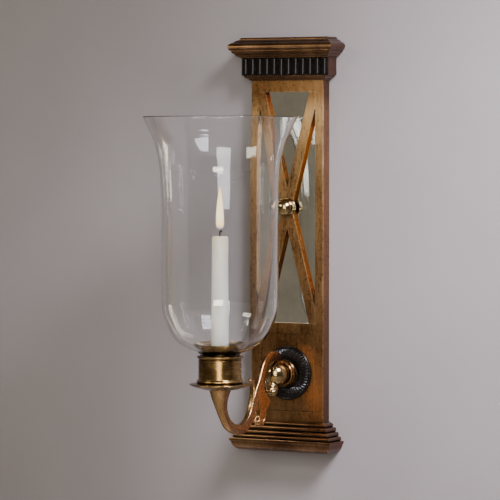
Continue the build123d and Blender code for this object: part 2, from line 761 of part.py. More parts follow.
def leaf_scroll():
    """Curled leaf between the arm and the ball, a fan of lobes about its core."""
    core = Pos(0, -SCROLL_REACH, SCROLL_HEIGHT) * scale(Sphere(SCROLL_RADIUS), SCROLL_SQUEEZE)
    neck_middle = Pos(0, -SCROLL_REACH - SCROLL_NECK_SHIFT, SCROLL_HEIGHT + 1)
    neck = neck_middle * Rot(SCROLL_NECK_TILT, 0, 0) * Cylinder(SCROLL_NECK_RADIUS, SCROLL_NECK_LENGTH)
    curl = core + neck
    first, sweep = LOBE_ANGLES
    for index in range(SCROLL_LOBES):
        angle = math.radians(first + sweep * index / (SCROLL_LOBES - 1))
        y = -SCROLL_REACH + LOBE_RING * math.cos(angle)
        z = SCROLL_HEIGHT + LOBE_RING * math.sin(angle)
        curl += Pos(0, y, z) * Sphere(LOBE_RADIUS)
    curl -= Pos(0, -BALL_REACH, ROSETTE_HEIGHT) * Sphere(BALL_RADIUS)
    curl -= scroll_arm()
    curl -= pendant_leaf()
    return curl.solids().sort_by(SortBy.VOLUME)[-1]


def cup_screw():
    """Screw from the cup's floor down into the arm."""
    half = CUP_SCREW_SLOT / 2
    slot_depth = (-SHADE_REACH - half, -SHADE_REACH + half)
    slot = slab((-FAR, FAR), slot_depth, (CUP_SCREW_SLOT_FLOOR, CUP_TOP))
    return turned(CUP_SCREW) - slot


def inward(points, distance):
    """Points moved towards the inside of a curve that rises away from its axis."""
    moved = []
    for index, (radius, height) in enumerate(points):
        before = points[max(index - 1, 0)]
        after = points[min(index + 1, len(points) - 1)]
        run, rise = after[0] - before[0], after[1] - before[1]
        length = math.hypot(run, rise)
        moved.append((radius - distance * rise / length, height + distance * run / length))
    return moved


def glass_shade():
    """Blown hurricane glass with a straight neck, a round shoulder and a flared mouth."""
    inner_neck = GLASS_NECK_RADIUS - GLASS_WALL
    inner_bowl = [(inner_neck, GLASS_BOWL[0][1])] + inward(GLASS_BOWL, GLASS_WALL)[1:]
    mouth_radius, mouth_height = GLASS_FLARE[-1]
    lip = (mouth_radius - GLASS_WALL, mouth_height + GLASS_LIP_RISE)
    inner_flare = inward(GLASS_FLARE, GLASS_WALL)[:-1] + [lip]
    edges = [
        Line((inner_neck, GLASS_FOOT), (GLASS_NECK_RADIUS, GLASS_FOOT)),
        Line((GLASS_NECK_RADIUS, GLASS_FOOT), GLASS_BOWL[0]),
        Spline(*GLASS_BOWL),
        Line(GLASS_BOWL[-1], GLASS_FLARE[0]),
        Spline(*GLASS_FLARE),
        bowed(GLASS_FLARE[-1], lip, GLASS_LIP_BOW),
        Spline(*inner_flare),
        Line(inner_flare[0], inner_bowl[-1]),
        Spline(*inner_bowl),
        Line(inner_bowl[0], (inner_neck, GLASS_FOOT)),
    ]
    return Pos(0, -SHADE_REACH, 0) * revolve(Plane.XZ * make_face(edges), Axis.Z)


def wick():
    """Burnt wick, bent over at its knee."""
    upright = Pos(0, 0, (WICK_ROOT + WICK_KNEE) / 2) * Cylinder(WICK_RADIUS, WICK_KNEE - WICK_ROOT)
    tip = Pos(0, 0, WICK_TIP / 2) * Cylinder(WICK_RADIUS, WICK_TIP)
    knee = Pos(0, 0, WICK_KNEE)
    bent = knee * Rot(0, WICK_BEND, 0) * tip
    return Pos(0, -SHADE_REACH, 0) * (upright + bent + knee * Sphere(WICK_RADIUS))


def candle():
    """Taper candle with a softened shoulder, bored for the wick."""
    bore = Pos(0, -SHADE_REACH, (WICK_ROOT + CANDLE_TOP) / 2)
    return turned(CANDLE) - bore * Cylinder(WICK_RADIUS, CANDLE_TOP - WICK_ROOT)


def main():
    save("wall_bracket", wall_bracket())
    save("pilaster_case", pilaster_case())
    bar_one, bar_other = lattice()
    save("lattice_bar_front", bar_one)
    save("lattice_bar_rear", bar_other)
    ball, ring = finial()
    save("lattice_finial", ball)
    save("finial_ring", ring)
    glass, felt, plate = mirror_pack()
    save("mirror_glass", glass)
    save("mirror_felt", felt)
    save("back_plate", plate)
    save("back_plate_screws", backplate_screws())
    save("hanger_plate", hanger_plate())
    save("hanger_rivets", hanger_rivets())
    save("wall_pads", wall_pads())
    save("cornice", moulding(CORNICE))
    save("cornice_cap", moulding(TOP_CAP, hollow=False))
    save("frieze_block", frieze_block())
    save("frieze_reeds", frieze_reeds())
    save("neck_moulding", moulding(NECK))
    save("base_steps", moulding(BASE_STEPS))
    save("base_foot", moulding(FOOT))
    save("bottom_cap", bottom_cap())
    save("plinth_panel", plinth_panel())
    save("panel_lugs", panel_lugs())
    save("rosette_ring", rosette_ring())
    save("wall_boss", wall_boss())
    save("boss_ball", boss_ball())
    stud, washer, nut = arm_fixings()
    save("arm_stud", stud)
    save("arm_washer", washer)
    save("arm_nut", nut)
    save("scroll_arm", scroll_arm())
    save("pendant_leaf", pendant_leaf())
    save("thumb_leaf", thumb_leaf())
    save("leaf_scroll", leaf_scroll())
    save("drip_plate", turned(DRIP_PLATE))
    save("shade_cup", turned(SHADE_CUP))
    save("cup_screw", cup_screw())
    save("cup_gasket", turned(CUP_GASKET))
    save("glass_shade", glass_shade())
    save("candle_dish", turned(CANDLE_DISH))
    save("insert_sleeve", turned(INSERT_SLEEVE))
    save("candle_socket", turned(CANDLE_SOCKET))
    save("candle", candle())
    save("wick", wick())


main()
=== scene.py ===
"""Looks of the mirrored brass wall sconce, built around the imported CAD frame."""

import json
import math

import bmesh
import bpy
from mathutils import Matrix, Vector, noise


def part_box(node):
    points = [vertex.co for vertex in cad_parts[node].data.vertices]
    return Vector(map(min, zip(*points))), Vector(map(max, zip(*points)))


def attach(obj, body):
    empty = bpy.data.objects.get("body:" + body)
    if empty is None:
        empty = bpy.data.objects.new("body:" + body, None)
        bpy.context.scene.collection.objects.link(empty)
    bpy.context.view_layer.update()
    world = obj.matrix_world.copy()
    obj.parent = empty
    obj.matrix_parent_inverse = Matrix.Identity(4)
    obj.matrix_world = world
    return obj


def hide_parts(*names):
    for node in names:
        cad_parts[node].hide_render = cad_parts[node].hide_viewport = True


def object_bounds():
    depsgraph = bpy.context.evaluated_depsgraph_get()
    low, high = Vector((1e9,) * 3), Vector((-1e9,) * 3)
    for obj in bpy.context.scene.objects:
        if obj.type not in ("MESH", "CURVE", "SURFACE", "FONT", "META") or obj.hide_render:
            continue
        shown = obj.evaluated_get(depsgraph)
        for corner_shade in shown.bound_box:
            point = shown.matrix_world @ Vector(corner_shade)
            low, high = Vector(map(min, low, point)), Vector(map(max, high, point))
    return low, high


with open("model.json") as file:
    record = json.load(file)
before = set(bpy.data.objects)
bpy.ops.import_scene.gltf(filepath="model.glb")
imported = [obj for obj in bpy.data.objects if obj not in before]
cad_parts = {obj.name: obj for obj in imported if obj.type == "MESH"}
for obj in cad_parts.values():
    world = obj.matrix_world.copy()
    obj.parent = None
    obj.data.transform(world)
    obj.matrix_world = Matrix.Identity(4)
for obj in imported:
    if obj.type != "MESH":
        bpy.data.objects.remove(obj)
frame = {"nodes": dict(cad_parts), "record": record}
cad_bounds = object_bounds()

MM = 0.001

# ---------------------------------------------------------------- places from the frame

FOOT_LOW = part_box("base_foot")[0]
CAP_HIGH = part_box("cornice_cap")[1]
CUP_LOW, CUP_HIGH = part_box("shade_cup")
CANDLE_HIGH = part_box("candle")[1]
BALL_LOW, BALL_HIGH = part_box("boss_ball")
GROUND = FOOT_LOW.z  # height 0 of the object's own measures
HEIGHT = CAP_HIGH.z - GROUND
# Upright line through the middle of the cup, the glass and the candle
AXIS = Vector(((CUP_LOW.x + CUP_HIGH.x) / 2, (CUP_LOW.y + CUP_HIGH.y) / 2, 0))


def level(height_mm):
    """Height above the pilaster's foot, in millimetres, as a coordinate of the frame."""
    return GROUND + height_mm * MM


# ---------------------------------------------------------------- node helpers


class Shader:
    """A material's node tree with short calls for the nodes that repeat."""

    def __init__(self, name):
        self.material = bpy.data.materials.new(name)
        self.material.use_nodes = True
        self.tree = self.material.node_tree
        self.tree.nodes.clear()
        self.output = self.tree.nodes.new("ShaderNodeOutputMaterial")
        self.surface = self.tree.nodes.new("ShaderNodeBsdfPrincipled")
        self.link(self.surface.outputs[0], self.output.inputs["Surface"])
        self.coords = self.tree.nodes.new("ShaderNodeTexCoord").outputs["Object"]
        self.normals = self.coords.node.outputs["Normal"]

    def link(self, source, target):
        """Join an output to an input."""
        self.tree.links.new(source, target)

    def feed(self, value, socket):
        """Link a socket, or set a constant."""
        if isinstance(value, bpy.types.NodeSocket):
            self.link(value, socket)
        else:
            socket.default_value = value

    def set(self, **values):
        """Principled inputs by name, with underscores for spaces."""
        for name, value in values.items():
            self.feed(value, self.surface.inputs[name.replace("_", " ")])

    def stretched(self, scale):
        """Object coordinates multiplied along x, y and z."""
        mapping = self.tree.nodes.new("ShaderNodeMapping")
        mapping.inputs["Scale"].default_value = scale
        self.link(self.coords, mapping.inputs["Vector"])
        return mapping.outputs[0]

    def noise(self, scale, detail=4.0, roughness=0.55, stretch=None, distortion=0.0):
        """Cloudy noise, about 0.5 in its middle; a small stretch makes long marks that way."""
        node = self.tree.nodes.new("ShaderNodeTexNoise")
        self.link(self.stretched(stretch) if stretch else self.coords, node.inputs["Vector"])
        node.inputs["Scale"].default_value = scale
        node.inputs["Detail"].default_value = detail
        node.inputs["Roughness"].default_value = roughness
        node.inputs["Distortion"].default_value = distortion
        return node.outputs[0]

    def ramp(self, value, *stops):
        """Colour ramp from (position, colour) stops; a colour may be one grey number."""
        node = self.tree.nodes.new("ShaderNodeValToRGB")
        elements = node.color_ramp.elements
        while len(elements) < len(stops):
            elements.new(1.0)
        for element, (position, colour) in zip(elements, stops):
            grey = isinstance(colour, (int, float))
            element.position = position
            element.color = (colour, colour, colour, 1) if grey else (*colour, 1)
        self.link(value, node.inputs[0])
        return node.outputs[0]

    def mix(self, factor, first, second, blend="MIX"):
        """Blend of two colours or sockets."""
        node = self.tree.nodes.new("ShaderNodeMix")
        node.data_type = "RGBA"
        node.blend_type = blend
        self.feed(factor, node.inputs[0])
        for value, socket in ((first, node.inputs[6]), (second, node.inputs[7])):
            self.feed((*value, 1) if isinstance(value, tuple) else value, socket)
        return node.outputs[2]

    def math(self, operation, first, second=0.0, clamp=False):
        """One arithmetic step on numbers or sockets."""
        node = self.tree.nodes.new("ShaderNodeMath")
        node.operation = operation
        node.use_clamp = clamp
        self.feed(first, node.inputs[0])
        self.feed(second, node.inputs[1])
        return node.outputs[0]

    def separate(self, vector):
        """The x, y and z outputs of a vector."""
        node = self.tree.nodes.new("ShaderNodeSeparateXYZ")
        self.link(vector, node.inputs[0])
        return node.outputs

    def bump(self, height, distance, strength=1.0, below=None):
        """Normal raised by height, on top of the normal given as below."""
        node = self.tree.nodes.new("ShaderNodeBump")
        node.inputs["Distance"].default_value = distance
        node.inputs["Strength"].default_value = strength
        self.link(height, node.inputs["Height"])
        if below is not None:
            self.link(below, node.inputs["Normal"])
        return node.outputs[0]

    def edges(self, radius):
        """1 on sharp edges within radius, 0 on flat faces."""
        bevel = self.tree.nodes.new("ShaderNodeBevel")
        bevel.samples = 4
        bevel.inputs["Radius"].default_value = radius
        geometry = self.tree.nodes.new("ShaderNodeNewGeometry")
        dot = self.tree.nodes.new("ShaderNodeVectorMath")
        dot.operation = "DOT_PRODUCT"
        self.link(bevel.outputs[0], dot.inputs[0])
        self.link(geometry.outputs["Normal"], dot.inputs[1])
        return self.ramp(dot.outputs["Value"], (0.70, 1.0), (0.97, 0.0))

    def hollows(self, distance):
        """1 in the open, towards 0 in corners and grooves."""
        node = self.tree.nodes.new("ShaderNodeAmbientOcclusion")
        node.samples = 8
        node.inputs["Distance"].default_value = distance
        return node.outputs["AO"]


# ---------------------------------------------------------------- materials


def bronze(
    name, tones, side_reflection_tint, roughness,
    light_by_height=(), waves=0.16, speckle=0.12, side_reflection_share=0.75, grazing=(1, 1, 1),
):
    """Antique bronze: painted shade in corners, bright where worn on its edges, and a painted reflection
    tint on faces to the left and right.

    tones are its dark, middle and light colours; the side tint is a painted reflection on faces to the left
    and right, and the side share is how far it covers a side.
    the light-by-height stops give (share of the pilaster's height, multiplier) of light and shade painted
    along the pilaster.
    waves and speckle are the strengths of broad dents and of fine grain.
    grazing is the tint of what the metal mirrors at a low angle.
    """
    dark, middle, light = tones
    s = Shader(name)
    broad = s.noise(14, 4, 0.5, stretch=(1.5, 1.5, 0.6))
    fine = s.noise(260, 6, 0.62)
    streaks = s.noise(70, 3, 0.5, stretch=(4, 4, 0.12))
    cloud = s.mix(speckle, s.mix(0.18, broad, streaks), fine)
    colour = s.ramp(cloud, (0.38, dark), (0.50, middle), (0.62, light))
    # Painted reflection: faces turned to the left or right take the side tint.
    side = s.math("ABSOLUTE", s.separate(s.normals)[0])
    side = s.ramp(side, (0.55, 0.0), (0.9, 1.0))
    colour = s.mix(s.math("MULTIPLY", side, side_reflection_share), colour, side_reflection_tint)
    # Painted light and shade by height along the pilaster.
    if light_by_height:
        share = s.math("SUBTRACT", s.separate(s.coords)[2], GROUND)
        share = s.ramp(s.math("DIVIDE", share, HEIGHT, clamp=True), *light_by_height)
        colour = s.mix(1.0, colour, share, "MULTIPLY")
    # Painted shade: darker where ambient occlusion finds corners and grooves.
    corner_shade = s.ramp(s.hollows(7 * MM), (0.25, 0.10), (0.80, 1.0))
    colour = s.mix(1.0, colour, corner_shade, "MULTIPLY")
    worn = s.math("MULTIPLY", s.edges(0.8 * MM), s.ramp(fine, (0.35, 0.25), (0.6, 0.9)))
    colour = s.mix(worn, colour, tuple(min(1.0, 1.25 * c + 0.06) for c in light))
    scratches = s.noise(60, 3, 0.5, stretch=(30, 30, 1))
    rough = s.mix(0.45, s.mix(0.5, fine, broad), scratches)
    rough = s.ramp(rough, (0.38, roughness - 0.08), (0.62, roughness + 0.10))
    wave = s.bump(broad, 0.8 * MM, waves)
    grain = s.bump(scratches, 0.012 * MM, speckle, wave)
    s.set(Base_Color=colour, Metallic=1.0, Roughness=rough, Normal=grain, Specular_Tint=(*grazing, 1))
    return s.material


def turned_brass():
    """Lathe-turned brass with fine rings round its axis, and painted shade in its grooves and corners."""
    dark, light = (0.075, 0.042, 0.015), (0.27, 0.172, 0.064)
    roughness = 0.22
    s = Shader("cup_brass")
    rings = s.noise(1.0, 3, 0.7, stretch=(8, 8, 2600))
    cloud = s.noise(70, 5, 0.6)
    colour = s.ramp(s.mix(0.35, cloud, rings), (0.32, dark), (0.62, light))
    # Painted shade: darker where ambient occlusion finds grooves and corners.
    corner_shade = s.ramp(s.hollows(5 * MM), (0.30, 0.22), (0.85, 1.0))
    colour = s.mix(1.0, colour, corner_shade, "MULTIPLY")
    colour = s.mix(s.math("MULTIPLY", s.edges(0.6 * MM), 0.5), colour, light)
    rough = s.ramp(s.mix(0.6, cloud, rings), (0.3, roughness * 0.7), (0.75, roughness * 1.6))
    grain = s.bump(rings, 0.03 * MM, 0.5)
    s.set(Base_Color=colour, Metallic=1.0, Roughness=rough, Normal=grain)
    return s.material


def polished_brass():
    """Polished brass, with painted shade in its corners."""
    s = Shader("polished_brass")
    cloud = s.noise(120, 6, 0.65)
    colour = s.ramp(cloud, (0.30, (0.095, 0.060, 0.025)), (0.62, (0.30, 0.215, 0.104)))
    # Painted shade: darker where ambient occlusion finds corners.
    corner_shade = s.ramp(s.hollows(5 * MM), (0.25, 0.15), (0.8, 1.0))
    colour = s.mix(1.0, colour, corner_shade, "MULTIPLY")
    rough = s.ramp(s.noise(400, 4), (0.3, 0.10), (0.75, 0.20))
    s.set(Base_Color=colour, Metallic=1.0, Roughness=rough)
    s.set(Normal=s.bump(s.noise(220, 3), 0.05 * MM, 0.35))
    return s.material


def ebonised():
    """Black lacquer over reeded wood, worn thin here and there on its crests."""
    s = Shader("ebonised")
    grain = s.noise(420, 5, 0.6)
    colour = s.ramp(grain, (0.35, (0.0014, 0.0010, 0.0009)), (0.7, (0.006, 0.0046, 0.0040)))
    worn = s.math("MULTIPLY", s.edges(0.4 * MM), s.ramp(grain, (0.5, 0.0), (0.7, 0.3)))
    colour = s.mix(worn, colour, (0.045, 0.034, 0.026))
    rough = s.ramp(grain, (0.3, 0.11), (0.7, 0.19))
    s.set(Base_Color=colour, Roughness=rough, Specular_IOR_Level=0.13)
    s.set(Normal=s.bump(grain, 0.01 * MM, 0.25))
    return s.material


def mirror_silver():
    """Old silvered plate with a faint grey-green cast and a slight haze."""
    s = Shader("mirror_silver")
    cloud = s.noise(22, 6, 0.65)
    colour = s.ramp(cloud, (0.35, (0.66, 0.68, 0.62)), (0.65, (0.80, 0.83, 0.78)))
    rough = s.ramp(s.noise(300, 5), (0.40, 0.015), (0.80, 0.06))
    s.set(Base_Color=colour, Metallic=1.0, Roughness=rough)
    return s.material


def clear_glass():
    """Thin blown glass with faint level waves."""
    s = Shader("clear_glass")
    waves = s.noise(1.0, 3, 0.5, stretch=(14, 14, 120), distortion=0.6)
    tint = s.ramp(s.noise(12, 2), (0.3, (0.97, 0.985, 0.98)), (0.7, (1.0, 1.0, 1.0)))
    s.set(Base_Color=tint, Transmission_Weight=1.0, IOR=1.47, Roughness=0.0)
    s.set(Normal=s.bump(waves, 0.25 * MM, 0.36))
    return s.material


def candle_wax():
    """White wax, with the flame's warm light painted over its last 50 mm below the flame."""
    flame_light_length = 0.05
    s = Shader("candle_wax")
    streaks = s.noise(40, 5, 0.6, stretch=(1, 1, 0.25))
    height = s.separate(s.coords)[2]
    # Painted light: the flame's warm glow on the wax, stronger towards the top.
    near = s.math("SUBTRACT", height, CANDLE_HIGH.z - flame_light_length)
    near = s.math("MULTIPLY", near, 1 / flame_light_length, clamp=True)
    white = s.ramp(streaks, (0.35, (0.80, 0.78, 0.74)), (0.65, (0.90, 0.885, 0.86)))
    colour = s.mix(s.math("MULTIPLY", near, 0.7), white, (0.98, 0.86, 0.66))
    s.set(Base_Color=colour, Roughness=0.42, Subsurface_Weight=0.6, Subsurface_Scale=0.006)
    s.set(Subsurface_Radius=(1.0, 0.75, 0.5), Specular_IOR_Level=0.4)
    s.set(Normal=s.bump(s.noise(260, 5), 0.06 * MM, 0.4))
    return s.material


def charred_wick():
    """Plaited cotton, burnt black."""
    s = Shader("charred_wick")
    fibres = s.noise(500, 4, 0.6, stretch=(3, 3, 1))
    colour = s.ramp(fibres, (0.35, (0.004, 0.003, 0.003)), (0.7, (0.03, 0.02, 0.015)))
    s.set(Base_Color=colour, Roughness=0.9, Normal=s.bump(fibres, 0.2 * MM, 0.8))
    return s.material


def flame_glow(name, low, high, strength):
    """Candle flame between two heights: faint blue foot, pale yellow body, warm tip."""
    s = Shader(name)
    share = s.math("SUBTRACT", s.separate(s.coords)[2], low)
    share = s.math("DIVIDE", share, high - low, clamp=True)
    flicker = s.math("MULTIPLY", s.noise(90, 2), 0.06)
    share = s.math("ADD", share, flicker)
    colour = s.ramp(
        share,
        (0.00, (0.25, 0.28, 0.65)),
        (0.10, (1.0, 0.66, 0.34)),
        (0.35, (1.0, 0.84, 0.50)),
        (0.75, (1.0, 0.76, 0.40)),
        (1.00, (1.0, 0.58, 0.24)),
    )
    rise = s.ramp(share, (0.02, 0.05), (0.14, 0.75), (0.30, 1.0), (0.85, 0.85), (1.0, 0.45))
    s.set(Base_Color=(0, 0, 0, 1), Roughness=1.0, Specular_IOR_Level=0.0)
    s.set(Emission_Color=colour, Emission_Strength=2.6)
    s.set(Alpha=s.math("MULTIPLY", rise, strength))
    return s.material


def felt():
    """Green felt with a loose nap."""
    s = Shader("green_felt")
    fibres = s.noise(900, 6, 0.75)
    colour = s.ramp(fibres, (0.35, (0.02, 0.035, 0.02)), (0.7, (0.06, 0.09, 0.05)))
    s.set(Base_Color=colour, Roughness=0.95, Sheen_Weight=0.5)
    s.set(Normal=s.bump(fibres, 0.3 * MM, 0.8))
    return s.material


def sheet_steel():
    """Black lacquered sheet, chipped to grey steel on its edges."""
    s = Shader("sheet_steel")
    fine = s.noise(260, 5, 0.6)
    chips = s.math("MULTIPLY", s.edges(0.8 * MM), s.ramp(fine, (0.5, 0.0), (0.58, 1.0)))
    lacquer = s.ramp(fine, (0.3, (0.02, 0.02, 0.022)), (0.7, (0.05, 0.05, 0.052)))
    colour = s.mix(chips, lacquer, (0.4, 0.4, 0.4))
    s.set(Base_Color=colour, Metallic=chips, Roughness=s.ramp(fine, (0.3, 0.35), (0.7, 0.55)))
    s.set(Normal=s.bump(s.noise(700, 4), 0.05 * MM, 0.4))
    return s.material


def zinc():
    """Zinc-plated screws and nuts."""
    s = Shader("zinc_plate")
    fine = s.noise(500, 5, 0.6)
    colour = s.ramp(fine, (0.35, (0.38, 0.38, 0.36)), (0.7, (0.62, 0.61, 0.57)))
    s.set(Base_Color=colour, Metallic=1.0, Roughness=s.ramp(fine, (0.3, 0.25), (0.7, 0.45)))
    s.set(Normal=s.bump(fine, 0.04 * MM, 0.4))
    return s.material


# Light and shade painted by height on the pilaster, from its foot (0) to its head (1): darker towards the
# foot, brightest over the stiles, and painted shadow from just below the top rail upwards
HEIGHT_LIGHT_AND_SHADE = (
    (0.0, (0.42, 0.350, 0.32)),
    (0.27, (0.54, 0.465, 0.43)),
    (0.33, (0.68, 0.610, 0.58)),
    (0.58, (1.0, 0.92, 0.90)),
    (0.82, (1.0, 0.98, 1.0)),
    (0.862, (0.46, 0.385, 0.34)),
    (1.0, (0.42, 0.350, 0.32)),
)
# Dark, middle and light tones of the metal
GOLDEN = ((0.28, 0.156, 0.062), (0.43, 0.266, 0.114), (0.60, 0.400, 0.195))
BROWN = ((0.055, 0.0270, 0.0130), (0.092, 0.047, 0.0225), (0.15, 0.085, 0.042))
COPPERY = ((0.16, 0.084, 0.034), (0.24, 0.136, 0.056), (0.36, 0.225, 0.100))
# The fourth value of each is the tint of the painted reflection on faces to the left and right; on the
# lattice bars it is dark painted shade over the whole side.
BRONZE = bronze("bronze", GOLDEN, (0.20, 0.092, 0.054), 0.30, HEIGHT_LIGHT_AND_SHADE, waves=0.4)
LATTICE_BRONZE = bronze(
    "lattice_bronze", GOLDEN, (0.060, 0.034, 0.018), 0.30, HEIGHT_LIGHT_AND_SHADE, side_reflection_share=1.0, grazing=(0.5, 0.38, 0.28)
)
DARK_BRONZE = bronze("dark_bronze", BROWN, (0.13, 0.055, 0.037), 0.30)
ARM_BRONZE = bronze(
    "arm_bronze", COPPERY, (0.235, 0.122, 0.064), 0.25, waves=0.0, speckle=0.10, grazing=(0.85, 0.75, 0.68)
)
SLOT_MATERIALS = {
    "bronze": BRONZE,
    "polished_brass": polished_brass(),
    "cup_brass": turned_brass(),
    "ebonised": ebonised(),
    "mirror": mirror_silver(),
    "clear_glass": clear_glass(),
    "wax": candle_wax(),
    "wick": charred_wick(),
    "felt": felt(),
    "steel": sheet_steel(),
    "screw_steel": zinc(),
}
NODE_MATERIALS = {"lattice_bar_front": LATTICE_BRONZE, "lattice_bar_rear": LATTICE_BRONZE}
for moulding in ("cornice", "cornice_cap", "frieze_block", "neck_moulding", "base_steps", "base_foot"):
    NODE_MATERIALS[moulding] = DARK_BRONZE


# Width of the rounding on a slot's sharp edges, in millimetres
EDGE_SOFTENING = {"bronze": 0.35, "ebonised": 0.12, "polished_brass": 0.2, "cup_brass": 0.15}
OTHER_SOFTENING = 0.2


def dress_cad_nodes():
    """Give every carried-over node its material, soft edges and smooth shading."""
    for row in frame["record"]["subparts"]:
        node, slot = row["node"], row["material_slot"]
        obj = frame["nodes"][node]
        obj.data.materials.clear()
        obj.data.materials.append(NODE_MATERIALS.get(node, SLOT_MATERIALS[slot]))
        weld = obj.modifiers.new("weld", "WELD")
        weld.merge_threshold = 0.002 * MM
        obj.data.shade_smooth()
        soften(obj, EDGE_SOFTENING.get(slot, OTHER_SOFTENING))


def soften(obj, width_mm, angle=32):
    """Small rounding on sharp edges, with the flat faces left looking flat."""
    bevel = obj.modifiers.new("soft_edges", "BEVEL")
    bevel.width = width_mm * MM
    bevel.segments = 2
    bevel.limit_method = "ANGLE"
    bevel.angle_limit = math.radians(angle)
    flat = obj.modifiers.new("flat_faces", "WEIGHTED_NORMAL")
    flat.keep_sharp = True


dress_cad_nodes()


# ---------------------------------------------------------------- mesh helpers


def between(p, q, r, s, f):
    """Catmull-Rom value at share f of the way from q to r, with p before and s after them."""
    square = 2 * p - 5 * q + 4 * r - s
    cube = 3 * q - p - 3 * r + s
    return 0.5 * (2 * q + (r - p) * f + square * f ** 2 + cube * f ** 3)


def spread(points, count):
    """count points along a smooth curve through the given ones, whatever they hold."""
    rows = [tuple(point) for point in points]
    last = len(rows) - 1
    found = []
    for index in range(count):
        place = last * index / (count - 1)
        k = min(int(place), last - 1)
        around = [rows[min(max(k + step, 0), last)] for step in (-1, 0, 1, 2)]
        found.append(tuple(between(*values, place - k) for values in zip(*around)))
    return found


def heading(points, k):
    """Direction of a line of (distance, height) points at its point k."""
    ahead, behind = points[min(k + 1, len(points) - 1)], points[max(k - 1, 0)]
    return Vector((ahead[0] - behind[0], ahead[1] - behind[1])).normalized()


def circle(radius, sides):
    """Points of a circle, as (first, second) offsets."""
    turns = [2 * math.pi * j / sides for j in range(sides)]
    return [(radius * math.cos(turn), radius * math.sin(turn)) for turn in turns]


def skin(name, rings, material, capped=True, closed=False):
    """Mesh over rings of points; closed joins the last ring to the first."""
    size = len(rings[0])
    points = [point for ring in rings for point in ring]
    faces = []
    count = len(rings)
    for k in range(count if closed else count - 1):
        here, there = k * size, (k + 1) % count * size
        for j in range(size):
            nxt = (j + 1) % size
            faces.append((here + j, here + nxt, there + nxt, there + j))
    if capped:
        faces.append(tuple(reversed(range(size))))
        faces.append(tuple(range((count - 1) * size, count * size)))
    mesh = bpy.data.meshes.new(name)
    mesh.from_pydata(points, [], faces)
    mesh.update()
    return add_mesh(name, mesh, material)


def add_mesh(name, mesh, material):
    """Object over a mesh, with its faces turned outwards and shaded smooth."""
    work = bmesh.new()
    work.from_mesh(mesh)
    bmesh.ops.recalc_face_normals(work, faces=work.faces)
    work.to_mesh(mesh)
    work.free()
    obj = bpy.data.objects.new(name, mesh)
    bpy.context.scene.collection.objects.link(obj)
    mesh.materials.append(material)
    mesh.shade_smooth()
    return obj


def lathe(name, outline, material, segments, wobble=None):
    """Closed (radius, height) outline in millimetres, turned about the candle's axis.

    wobble gives what to add to a radius, from its turn, height and radius.
    """
    rings = []
    for step in range(segments):
        turn = 2 * math.pi * step / segments
        ring = []
        for radius, height in outline:
            if wobble:
                radius += wobble(turn, height, radius)
            ring.append((
                AXIS.x + radius * MM * math.cos(turn),
                AXIS.y + radius * MM * math.sin(turn),
                level(height),
            ))
        rings.append(ring)
    obj = skin(name, rings, material, capped=False, closed=True)
    work = bmesh.new()
    work.from_mesh(obj.data)
    bmesh.ops.remove_doubles(work, verts=work.verts, dist=0.001 * MM)
    bmesh.ops.dissolve_degenerate(work, edges=work.edges, dist=0.0005 * MM)
    bmesh.ops.recalc_face_normals(work, faces=work.faces)
    work.to_mesh(obj.data)
    work.free()
    return obj


def dressed(obj, body, replaced=None):
    """Ride a piece on its body and hide the CAD node that it stands for."""
    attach(obj, body)
    if replaced:
        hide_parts(replaced)


def tube_rings(path, sides=14):
    """Round rings along (x, distance from the wall, height, radius) stations in millimetres."""
    centres = [Vector((x, -reach, height)) for x, reach, height, _ in path]
    rings = []
    for k, centre in enumerate(centres):
        along = (centres[min(k + 1, len(path) - 1)] - centres[max(k - 1, 0)]).normalized()
        side = Vector((1, 0, 0))
        side = (side - side.dot(along) * along).normalized() if abs(along.x) < 0.95 else Vector((0, 0, 1))
        up = along.cross(side).normalized()
        side = up.cross(along)
        radius = path[k][3]
        ring = []
        for j in range(sides):
            turn = 2 * math.pi * j / sides
            spot = centre + radius * (math.cos(turn) * side + math.sin(turn) * up)
            ring.append((spot.x * MM, spot.y * MM, level(spot.z)))
        rings.append(ring)
    return rings


def apply_modifiers(obj):
    """Bake the object's modifiers into its mesh."""
    graph = bpy.context.evaluated_depsgraph_get()
    mesh = bpy.data.meshes.new_from_object(obj.evaluated_get(graph))
    old = obj.data
    obj.modifiers.clear()
    obj.data = mesh
    bpy.data.meshes.remove(old)


def cast_ribs(name, ribs, material):
    """One casting melted together from round tapering ribs with pointed ends."""
    work = bmesh.new()
    for path in ribs:
        rings = tube_rings(spread(path, 5 * len(path)))
        made = [[work.verts.new(point) for point in ring] for ring in rings]
        size = len(made[0])
        for here, there in zip(made, made[1:]):
            for j in range(size):
                work.faces.new((here[j], here[(j + 1) % size], there[(j + 1) % size], there[j]))
        for ring, end in ((made[0], 0), (made[-1], -1)):
            hub = Vector((0, 0, 0))
            for vert in ring:
                hub += vert.co / size
            x, reach, height, radius = path[end]
            other = path[1] if end == 0 else path[-2]
            away = Vector((x - other[0], other[1] - reach, height - other[2])).normalized()
            tip = work.verts.new(hub + away * radius * 0.7 * MM)
            for j in range(size):
                work.faces.new((ring[j], ring[(j + 1) % size], tip))
    bmesh.ops.recalc_face_normals(work, faces=work.faces)
    mesh = bpy.data.meshes.new(name)
    work.to_mesh(mesh)
    work.free()
    obj = bpy.data.objects.new(name, mesh)
    bpy.context.scene.collection.objects.link(obj)
    mesh.materials.append(material)
    melt = obj.modifiers.new("melt", "REMESH")
    melt.mode = "VOXEL"
    melt.voxel_size = 0.36 * MM
    melt.use_smooth_shade = True
    ease = obj.modifiers.new("ease", "SMOOTH")
    ease.factor = 0.5
    ease.iterations = 2
    apply_modifiers(obj)
    obj.data.materials.clear()
    obj.data.materials.append(material)
    return obj


# ---------------------------------------------------------------- arm and its leaves

